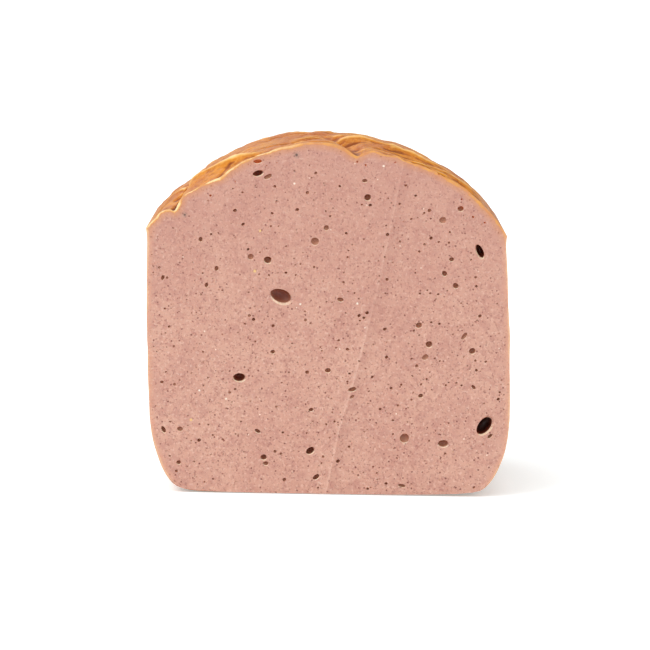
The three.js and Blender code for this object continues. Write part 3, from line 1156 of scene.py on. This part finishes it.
# Single grains that stand out in the slice: across, up, radius, and what it is.
FLECKS = (
    (-10.9, 107.6, 0.45, Fleck.PEPPER), (-45.8, 88.2, 0.40, Fleck.PEPPER), (16.5, 104.5, 0.4, Fleck.FAT),
    (9.0, 61.0, 0.40, Fleck.FAT), (-9.0, 60.5, 0.35, Fleck.FAT), (-40.5, 32.5, 0.35, Fleck.FAT),
    (-32.0, 30.0, 0.35, Fleck.FAT), (-11.5, 98.6, 0.35, Fleck.FAT), (-23.5, 70.7, 0.5, Fleck.MUSTARD),
    (-43.0, 23.0, 0.45, Fleck.MUSTARD), (-22.0, 83.5, 0.4, Fleck.MUSTARD),
)


@dataclass(frozen=True)
class CutMeat:
    """The moist pink slice, its browned edge with painted highlights, and the walls of its air pockets in
    painted light and shade.

    The fields after the first two are its colours.

    Attributes:
        front: Y of the cut face.
        rim: Height of the crust's lip over the pan.
    """

    front: float
    rim: float
    pink: Colour = srgb(191, 141, 124)
    pale: Colour = srgb(200, 153, 134)
    rosy: Colour = srgb(178, 126, 113)
    light_grain: Colour = srgb(222, 184, 166)
    dark_grain: Colour = srgb(152, 100, 88)
    speck: Colour = srgb(112, 58, 46)
    halo: Colour = srgb(150, 120, 106)
    fat: Colour = srgb(240, 220, 200)
    # Pocket wall colours are painted shade, darker than the slice; the up-facing floor is painted lighter.
    pocket: Colour = srgb(156, 94, 68)
    lit_pocket_floor: Colour = srgb(196, 140, 112)
    # Painted shade deep in the pockets, near black at their ends.
    pocket_deep_shade: Colour = srgb(122, 52, 30)
    pocket_end_shade: Colour = srgb(48, 16, 8)
    pocket_browned: Colour = srgb(204, 104, 44)
    # Painted highlight colour for the up-facing lower lips of the pockets.
    lip: Colour = srgb(234, 206, 176)
    gold: Colour = srgb(216, 154, 72)
    orange: Colour = srgb(198, 132, 84)
    peach: Colour = srgb(206, 150, 124)
    # Painted highlight colour for the cut edges of crust and pan.
    highlight_cream: Colour = srgb(240, 206, 152)

    def material(self, patterns: Patterns) -> Material:
        """Builds the material.

        Args:
            patterns: The shared node groups.

        Returns:
            The material.
        """
        material, wiring, shader = new_material("cut_meat")
        coordinates = wiring.node("TexCoord").outputs["Object"]
        place = wiring.group(patterns.place, Place=coordinates, Wobble=0.5, Size=1.2)
        spot, up = place.outputs["Place"], place.outputs["Up"]
        depth = wiring.maths("SUBTRACT", place.outputs["Behind"], self.front / MM)
        colour = self.flesh(wiring, patterns, spot)
        colour = wiring.tint(colour, self.rosy, wiring.rise(up, 30.0, 104.0), 0.32)
        colour = self.flecks(wiring, colour, spot)
        colour = self.browned_edge_and_highlights(wiring, patterns, colour, place)
        wiring.feed(shader.inputs["Base Color"], self.pockets(wiring, colour, depth))
        moist = wiring.mask(patterns.mottle, Place=spot, Size=3.0, Sharpness=0.25)
        wiring.feed(shader.inputs["Roughness"], wiring.rise(moist, 0.0, 1.0, 0.36, 0.52))
        grain = wiring.group(patterns.grain, Place=spot, Size=0.7).outputs["Height"]
        bump = wiring.node("Bump", {"Height": grain, "Distance": 0.10 * MM, "Strength": 0.8})
        wiring.feed(shader.inputs["Normal"], bump.outputs["Normal"])
        shader.inputs["Subsurface Weight"].default_value = 0.12
        shader.inputs["Subsurface Radius"].default_value = (1.0, 0.4, 0.25)
        shader.inputs["Subsurface Scale"].default_value = 1.5 * MM
        shader.inputs["Specular IOR Level"].default_value = 0.4
        return material

    def flesh(self, wiring: Wiring, patterns: Patterns, spot: NodeSocket) -> NodeSocket:
        """The fine-grained pink meat, with its specks.

        Args:
            wiring: The material's wiring.
            patterns: The shared node groups.
            spot: The place, in millimetres.

        Returns:
            The colour.
        """
        broad = wiring.mask(patterns.mottle, Place=spot, Size=14.0, Sharpness=0.25, Detail=2.0)
        patch = wiring.mask(patterns.mottle, Place=spot, Size=2.4, Sharpness=0.08, Level=0.55)
        light = wiring.mask(patterns.mottle, Place=spot, Size=1.0, Sharpness=0.06, Level=0.59, Detail=6.0)
        dark = wiring.mask(patterns.mottle, Place=spot, Size=0.7, Sharpness=0.07, Level=0.40)
        colour = wiring.blend(broad, self.pink, self.pale)
        colour = wiring.tint(colour, self.rosy, patch, 0.55)
        colour = wiring.tint(colour, self.light_grain, light, 0.46)
        colour = wiring.tint(colour, self.dark_grain, wiring.maths("SUBTRACT", 1.0, dark), 0.75)
        for spacing, radius, share in ((1.5, 0.19, 0.5), (2.4, 0.34, 0.45)):
            specks = wiring.mask(patterns.specks, Place=spot, Spacing=spacing, Radius=radius, Share=share)
            colour = wiring.tint(colour, self.speck, specks, 0.9)
        flecks = wiring.mask(patterns.specks, Place=spot, Spacing=3.6, Radius=0.22, Share=0.2)
        colour = wiring.tint(colour, self.fat, flecks, 0.8)
        return self.knife_ridge_shading(wiring, colour, broad)

    def knife_ridge_shading(self, wiring: Wiring, colour: NodeSocket, broad: NodeSocket) -> NodeSocket:
        """The knife's ridge in painted light and shade: a faint pale line of painted highlight along it,
        and painted shade to its right.

        Args:
            wiring: The material's wiring.
            colour: The colour so far.
            broad: Broad patches, in which the line shows more.

        Returns:
            The colour.
        """
        right = wiring.fact(KNIFE)
        # Painted highlight: a faint pale line along the knife's ridge.
        line = wiring.times(wiring.rise(right, -0.9, 0.0), wiring.rise(right, 0.25, 0.0))
        colour = wiring.tint(colour, self.light_grain, line, wiring.rise(broad, 0.0, 1.0, 0.14, 0.34))
        # Painted shade: a darker band to the right of the ridge.
        knife_step_shade = wiring.times(wiring.rise(right, 0.0, 0.4), wiring.rise(right, 6.0, 0.4))
        return wiring.tint(colour, self.dark_grain, knife_step_shade, 0.2)

    def flecks(self, wiring: Wiring, colour: NodeSocket, spot: NodeSocket) -> NodeSocket:
        """The single grains of pepper, fat and mustard.

        Args:
            wiring: The material's wiring.
            colour: The colour so far.
            spot: The place, in millimetres.

        Returns:
            The colour.
        """
        for x, z, radius, fleck in FLECKS:
            inputs = {0: spot, 1: (x, self.front / MM, z)}
            away = wiring.node("VectorMath", inputs, operation="DISTANCE").outputs["Value"]
            if fleck is Fleck.PEPPER:
                colour = wiring.tint(colour, self.halo, wiring.rise(away, 3.5 * radius, radius), 0.4)
            grain = wiring.rise(away, 1.3 * radius, 0.4 * radius)
            colour = wiring.tint(colour, fleck.value, grain, 0.75)
        return colour

    def browned_edge_and_highlights(self, wiring: Wiring, patterns: Patterns, colour: NodeSocket,
                     place: Node) -> NodeSocket:
        """The browning that runs in from the skin, broad under the crown and thin along the pan, with
        painted highlights: pale glints on the crust's cut edge and a thin pale line along the pan's edge.

        Args:
            wiring: The material's wiring.
            patterns: The shared node groups.
            colour: The colour so far.
            place: The node that gives the place, in millimetres.

        Returns:
            The colour.
        """
        spot, up, rim = place.outputs["Place"], place.outputs["Up"], self.rim / MM
        broad = wiring.mask(patterns.mottle, Place=spot, Size=7.0, Sharpness=0.3)
        fine = wiring.mask(patterns.mottle, Place=spot, Size=0.8, Sharpness=0.3)
        shift = wiring.maths("ADD", wiring.rise(broad, 0.0, 1.0, -0.35, 0.35),
                             wiring.rise(fine, 0.0, 1.0, -0.1, 0.1))
        edge = wiring.maths("ADD", wiring.fact(SKIN_DISTANCE), shift)
        crown = wiring.rise(up, rim - 5, rim + 3)
        wall = wiring.times(wiring.maths("SUBTRACT", 1.0, crown), wiring.rise(up, 1.0, 6.0))
        under_crown = wiring.times(wiring.rise(edge, 3.0, 0.4), crown)
        colour = wiring.tint(colour, self.orange, under_crown, 0.55)
        tone = wiring.mask(patterns.mottle, Place=spot, Size=3.0, Sharpness=0.2)
        rind = wiring.blend(tone, self.gold, self.orange)
        crown_line = wiring.times(wiring.rise(edge, 0.85, 0.5), crown)
        colour = wiring.tint(colour, rind, crown_line, 0.9)
        # Painted highlight: pale glints along the crust's cut edge, on the left.
        glint = wiring.mask(patterns.mottle, Place=spot, Size=5.0, Sharpness=0.15, Level=0.47)
        glint = wiring.times(glint, wiring.rise(edge, 0.5, 0.25))
        glint = wiring.times(glint, wiring.rise(place.outputs["Across"], 2.0, -26.0))
        colour = wiring.tint(colour, self.highlight_cream, glint, crown)
        along_wall = wiring.times(wiring.rise(edge, 2.2, 0.3), wall)
        colour = wiring.tint(colour, self.peach, along_wall, 0.6)
        # Painted highlight: a thin pale line at the pan's edge.
        wall_edge_highlight = wiring.times(wiring.rise(edge, 0.5, 0.2), wall)
        return wiring.tint(colour, self.highlight_cream, wall_edge_highlight, 0.3)

    def pockets(self, wiring: Wiring, colour: NodeSocket, depth: NodeSocket) -> NodeSocket:
        """The walls of the air pockets in painted light and shade: a painted highlight on the up-facing
        lower lip, lighter up-facing walls, and painted shade that darkens the walls, more so with depth.

        Args:
            wiring: The material's wiring.
            colour: The colour so far.
            depth: How far behind the cut the place is, in millimetres.

        Returns:
            The colour.
        """
        facing = wiring.node("SeparateXYZ", {0: wiring.node("NewGeometry").outputs["True Normal"]})
        back, top = facing.outputs["Y"], facing.outputs["Z"]
        inside = wiring.maths("MAXIMUM", wiring.rise(back, -0.93, -0.8), wiring.rise(depth, 0.35, 0.6))
        # Painted light and shade: up-facing pocket walls lighter, down-facing ones darker.
        wall = wiring.blend(wiring.rise(top, -0.5, 0.6), self.pocket, self.lit_pocket_floor)
        colour = wiring.blend(inside, colour, wall)
        # Painted shade, darker with depth, near black in the deepest pockets.
        colour = wiring.blend(wiring.rise(depth, 0.9, 3.4), colour, self.pocket_deep_shade)
        colour = wiring.blend(wiring.rise(depth, 2.9, 4.4), colour, self.pocket_end_shade)
        browned = wiring.times(wiring.rise(wiring.fact(SKIN_DISTANCE), 5.6, 4.4), inside)
        colour = wiring.tint(colour, self.pocket_browned, browned, wiring.fact(BAKED))
        # Painted highlight on the up-facing lower lip of each pocket.
        lip = wiring.times(wiring.rise(top, 0.04, 0.2), wiring.rise(depth, 0.0, 0.02))
        lip = wiring.times(lip, wiring.rise(back, -0.6, -0.85))
        lip = wiring.times(lip, wiring.rise(depth, 0.45, 0.3))
        return wiring.tint(colour, self.lip, lip, 0.75)


@dataclass(frozen=True)
class BakedCrust:
    """The skin: a golden crown with painted shade in its creases and painted highlights on its ridges,
    and duller walls that the pan browned.

    The fields between the first and the last are its colours.

    Attributes:
        front: Y of the cut face.
        crease_stretch: How the fine creases are drawn out: across, behind and up.
    """

    front: float
    gold: Colour = srgb(208, 134, 42)
    amber: Colour = srgb(180, 96, 32)
    # brown gives random tone and painted shade in hollows; dark is painted shade in the creases.
    brown: Colour = srgb(152, 78, 30)
    dark: Colour = srgb(112, 54, 20)
    # ridge gives random light tone and painted ridge highlights; the next colour is a painted highlight.
    ridge: Colour = srgb(232, 176, 92)
    crest_highlight: Colour = srgb(248, 216, 160)
    wall: Colour = srgb(202, 148, 116)
    wall_brown: Colour = srgb(180, 118, 80)
    wall_pale: Colour = srgb(214, 168, 138)
    wall_baked: Colour = srgb(178, 112, 62)
    pit: Colour = srgb(132, 78, 54)
    crease_stretch: tuple[float, float, float] = (0.28, 1.0, 0.45)

    def material(self, patterns: Patterns) -> Material:
        """Builds the material.

        Args:
            patterns: The shared node groups.

        Returns:
            The material.
        """
        material, wiring, shader = new_material("baked_crust")
        coordinates = wiring.node("TexCoord").outputs["Object"]
        place = wiring.group(patterns.place, Place=coordinates, Wobble=1.2, Size=3.0)
        drawn = wiring.group(patterns.place, Place=coordinates, Wobble=0.5, Size=6.0).outputs["Place"]
        spot = place.outputs["Place"]
        baked = wiring.fact(BAKED)
        crease = wiring.times(self.fine_creases(wiring, drawn), baked)
        pits = wiring.mask(patterns.specks, Place=spot, Spacing=2.8, Radius=0.34, Share=0.35, Softness=0.25)
        crown = self.crown(wiring, patterns, place, crease)
        wall = self.walls(wiring, patterns, place, pits)
        wiring.feed(shader.inputs["Base Color"], wiring.blend(baked, wall, crown))
        glaze = wiring.mask(patterns.mottle, Place=spot, Size=5.0, Sharpness=0.2, Level=0.48)
        wiring.feed(shader.inputs["Coat Weight"], wiring.rise(glaze, 0.0, 1.0, 0.0, 0.12))
        wiring.feed(shader.inputs["Roughness"], wiring.rise(baked, 0.0, 1.0, 0.5, 0.42))
        shader.inputs["Coat Roughness"].default_value = 0.2
        shader.inputs["Specular IOR Level"].default_value = 0.1
        fine = wiring.group(patterns.grain, Place=spot, Size=0.9).outputs["Height"]
        groove_depth, pit_depth = 1.6, 1.5
        height = wiring.maths("MULTIPLY_ADD", crease, -groove_depth, fine)
        height = wiring.maths("MULTIPLY_ADD", pits, -pit_depth, height)
        bump = wiring.node("Bump", {"Height": height, "Distance": 0.16 * MM, "Strength": 0.9})
        wiring.feed(shader.inputs["Normal"], bump.outputs["Normal"])
        return material

    def fine_creases(self, wiring: Wiring, spot: NodeSocket) -> NodeSocket:
        """Thin broken lines that run across the loaf, where the skin has puckered.

        Args:
            wiring: The material's wiring.
            spot: The place, in millimetres.

        Returns:
            The mask of the lines.
        """
        drawn = wiring.vector("MULTIPLY", {0: spot, 1: self.crease_stretch})
        noise = wiring.node("TexNoise", {"Vector": drawn, "Scale": 0.30, "Detail": 0.0})
        away = wiring.maths("ABSOLUTE", wiring.maths("SUBTRACT", noise.outputs["Fac"], 0.5))
        gaps = wiring.node("TexNoise", {"Vector": drawn, "Scale": 0.13, "Detail": 2.0})
        shown = wiring.rise(gaps.outputs["Fac"], 0.42, 0.56)
        return wiring.times(wiring.rise(away, 0.045, 0.0), shown)

    def crown(self, wiring: Wiring, patterns: Patterns, place: Node, crease: NodeSocket) -> NodeSocket:
        """The open crown in golden and brown tones, with painted highlights on its ridges and painted
        shade, brown to dark, in its creases, most so near the cut.

        Args:
            wiring: The material's wiring.
            patterns: The shared node groups.
            place: The node that gives the place, in millimetres.
            crease: The mask of the fine creases.

        Returns:
            The colour.
        """
        spot, front = place.outputs["Place"], self.front / MM
        near = wiring.rise(place.outputs["Behind"], front + 26, front + 8)
        hollow = wiring.fact(HOLLOW)
        broad = wiring.mask(patterns.mottle, Place=spot, Size=13.0, Sharpness=0.16)
        patch = wiring.mask(patterns.mottle, Place=spot, Size=3.2, Sharpness=0.12, Level=0.54)
        dust = wiring.mask(patterns.mottle, Place=spot, Size=0.9, Sharpness=0.1, Level=0.58)
        colour = wiring.blend(broad, self.amber, self.gold)
        colour = wiring.tint(colour, self.brown, patch, 0.45)
        colour = wiring.tint(colour, self.ridge, dust, 0.22)
        # Painted highlight: the ridge colour on the crown's ridges.
        colour = wiring.tint(colour, self.ridge, wiring.rise(hollow, -0.4, -1.5), 0.7)
        # Painted highlight: pale on the strongest ridges, most near the cut.
        crest_highlight_share = wiring.rise(near, 0.0, 1.0, 0.28, 0.65)
        colour = wiring.tint(colour, self.crest_highlight, wiring.rise(hollow, -1.1, -2.1), crest_highlight_share)
        # Painted shade: browner in the crown's hollows.
        colour = wiring.tint(colour, self.brown, wiring.rise(hollow, 0.1, 0.6), 0.7)
        # Painted shade: the fine creases darkened.
        colour = wiring.tint(colour, self.dark, crease, wiring.rise(near, 0.0, 1.0, 0.12, 0.3))
        # Painted shade: dark in the deepest creases, most near the cut.
        crease_shade_share = wiring.rise(near, 0.0, 1.0, 0.55, 0.85)
        return wiring.tint(colour, self.dark, wiring.rise(hollow, 0.4, 1.4), crease_shade_share)

    def walls(self, wiring: Wiring, patterns: Patterns, place: Node, pits: NodeSocket) -> NodeSocket:
        """The pan walls: even and dull, browner toward the rim, with small pits.

        Args:
            wiring: The material's wiring.
            patterns: The shared node groups.
            place: The node that gives the place, in millimetres.
            pits: The mask of the pits.

        Returns:
            The colour.
        """
        spot, up = place.outputs["Place"], place.outputs["Up"]
        broad = wiring.mask(patterns.mottle, Place=spot, Size=16.0, Sharpness=0.3)
        patch = wiring.mask(patterns.mottle, Place=spot, Size=3.6, Sharpness=0.22, Level=0.55)
        dust = wiring.mask(patterns.mottle, Place=spot, Size=0.9, Sharpness=0.1, Level=0.58)
        by_rim = wiring.rise(up, 66.0, 84.0, 0.0, 0.7)
        by_foot = wiring.rise(up, 7.0, 0.0, 0.0, 0.45)
        colour = wiring.tint(self.wall, self.wall_brown, broad, 0.8)
        colour = wiring.tint(colour, self.wall_pale, patch, 0.45)
        colour = wiring.blend(wiring.maths("ADD", by_rim, by_foot), colour, self.wall_baked)
        colour = wiring.tint(colour, self.wall_pale, dust, 0.25)
        return wiring.tint(colour, self.pit, pits, 0.7)


# ---- The piece --------------------------------------------------------------------------------


@dataclass
class LeberkaseLoaf:
    """The whole piece, from its skin to its finishes.

    Attributes:
        skin: Its outside.
        slice: Its cut face.
        facts: What its finishes read from the surface.
        smooth_angle: The angle up to which an edge is shaded smooth.
    """

    skin: BakedSkin
    slice: CutFace
    facts: SurfaceFacts
    smooth_angle: float = math.radians(50)

    def build(self) -> Object:
        """Builds the piece, slices it, and opens its pockets.

        Returns:
            The finished piece.
        """
        loaf, bowls = self.skin.build()
        whole = loaf.copy()
        whole.data = loaf.data.copy()
        pockets = self.slice.cut(loaf, bowls)
        log.info("opened %d small air pockets", pockets)
        self.facts.write(loaf, whole)
        bpy.data.meshes.remove(whole.data)
        take(loaf)
        bpy.ops.object.shade_smooth_by_angle(angle=self.smooth_angle)
        loaf.name = "leberkase_loaf"
        loaf.vertex_groups.clear()
        return loaf

    def dress(self, loaf: Object, patterns: Patterns) -> None:
        """Gives the piece its finishes.

        Args:
            loaf: The finished piece.
            patterns: The shared node groups.
        """
        finishes = {
            Finish.CUT: CutMeat(self.skin.front, self.skin.rim).material(patterns),
            Finish.SKIN: BakedCrust(self.skin.front).material(patterns),
        }
        for finish, material in finishes.items():
            loaf.data.materials[finish.value] = material


# ---- The studio -------------------------------------------------------------------------------


@dataclass(frozen=True)
class Studio:
    """A white table, soft lights and the camera.

    Attributes:
        centre: The middle of the piece, which the lights point at.
        front: Y of the cut face.
        distance: How far the camera stands from what it looks at.
        lens: Its focal length, in millimetres.
        pitch: How steeply it looks down.
        roll: How far it is turned about its own axis.
        aim_across: X of what it looks at.
        aim_up: Z of what it looks at.
        ambient: How strongly the surroundings light the piece.
        table_size: Side of the table.
        table_gap: How far the table lies under the piece, so that their faces don't coincide.
    """

    centre: Vector
    front: float
    distance: float = 1.1
    lens: float = 193.0
    pitch: float = math.radians(6.8)
    roll: float = math.radians(0.95)
    aim_across: float = -1.1 * MM
    aim_up: float = 54 * MM
    ambient: float = 0.78
    table_size: float = 60.0
    table_gap: float = 0.2 * MM

    def build(self) -> None:
        """Sets up the floor, the lights and the camera."""
        self.lay_floor()
        self.hang_light("key", spot=(-0.55, -0.60, 0.95), size=0.5, power=3.5)
        self.hang_light("back", spot=(-0.35, 0.80, 0.75), size=0.5, power=1.2)
        self.hang_tent(direction=(0.45, 0.5, -1.0), strength=1.0, spread=70.0)
        self.light_world()
        bpy.context.scene.view_settings.view_transform = "Standard"
        self.place_camera()

    def hang_light(self, name: str, spot: tuple[float, float, float], size: float, power: float) -> None:
        """Hangs a square soft light that points at the piece.

        Args:
            name: Its name.
            spot: Where it hangs.
            size: Its side.
            power: Its power in watts.
        """
        light = bpy.data.lights.new(name, "AREA")
        light.energy = power
        light.size = size
        lamp = bpy.data.objects.new(name, light)
        bpy.context.collection.objects.link(lamp)
        lamp.location = spot
        lamp.rotation_euler = (self.centre - lamp.location).to_track_quat("-Z", "Y").to_euler()

    def hang_tent(self, direction: tuple[float, float, float], strength: float, spread: float) -> None:
        """Adds the wide, even light of a white tent.

        Args:
            direction: Where its light goes.
            strength: Its strength.
            spread: How wide it is, in degrees.
        """
        tent = bpy.data.lights.new("tent", "SUN")
        tent.energy = strength
        tent.angle = math.radians(spread)
        lamp = bpy.data.objects.new("tent", tent)
        bpy.context.collection.objects.link(lamp)
        lamp.rotation_euler = Vector(direction).to_track_quat("-Z", "Y").to_euler()

    def light_world(self) -> None:
        """Makes the surroundings white, and gives them a softer light than they show."""
        world = bpy.data.worlds.new("soft_white")
        bpy.context.scene.world = world
        world.use_nodes = True
        wiring = Wiring(world.node_tree)
        seen = wiring.node("LightPath").outputs["Is Camera Ray"]
        background = world.node_tree.nodes["Background"]
        background.inputs["Color"].default_value = (1, 1, 1, 1)
        wiring.feed(background.inputs["Strength"], wiring.rise(seen, 0.0, 1.0, self.ambient, 1.0))

    def lay_floor(self) -> None:
        """Lays the plain white table, with a faint cool glow against the piece's warm bounce light."""
        bpy.ops.mesh.primitive_plane_add(size=self.table_size, location=(0, 0, -self.table_gap))
        floor = bpy.context.active_object
        floor.name = "floor"
        material, _, shader = new_material("white_table")
        shader.inputs["Base Color"].default_value = (0.94, 0.94, 0.94, 1)
        shader.inputs["Emission Color"].default_value = (0.72, 0.95, 1.0, 1)
        shader.inputs["Emission Strength"].default_value = 0.30
        shader.inputs["Roughness"].default_value = 0.8
        floor.data.materials.append(material)

    def place_camera(self) -> None:
        """Stands the camera in front of the slice, a little above it."""
        data = bpy.data.cameras.new("camera")
        data.lens = self.lens
        camera = bpy.data.objects.new("camera", data)
        bpy.context.collection.objects.link(camera)
        target = Vector((self.aim_across, self.front, self.aim_up))
        back = Vector((0, -math.cos(self.pitch), math.sin(self.pitch)))
        camera.location = target + back * self.distance
        turn = (-back).to_track_quat("-Z", "Y").to_matrix() @ Matrix.Rotation(self.roll, 3, "Z")
        camera.rotation_euler = turn.to_euler()
        bpy.context.scene.camera = camera


def main() -> None:
    """Builds the piece and the studio around it."""
    logging.basicConfig(level=logging.INFO, format="%(message)s")
    low, high = CAD_BOX
    front = low.y
    skin = BakedSkin(front)
    piece = LeberkaseLoaf(skin, CutFace(front), SurfaceFacts(skin.rim))
    loaf = piece.build()
    piece.dress(loaf, Patterns())
    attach(loaf, "root")
    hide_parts(NODE)
    loaf.data.calc_loop_triangles()
    log.info("%s: %d triangles", loaf.name, len(loaf.data.loop_triangles))
    Studio((low + high) / 2, front).build()


if __name__ == "__main__":
    main()
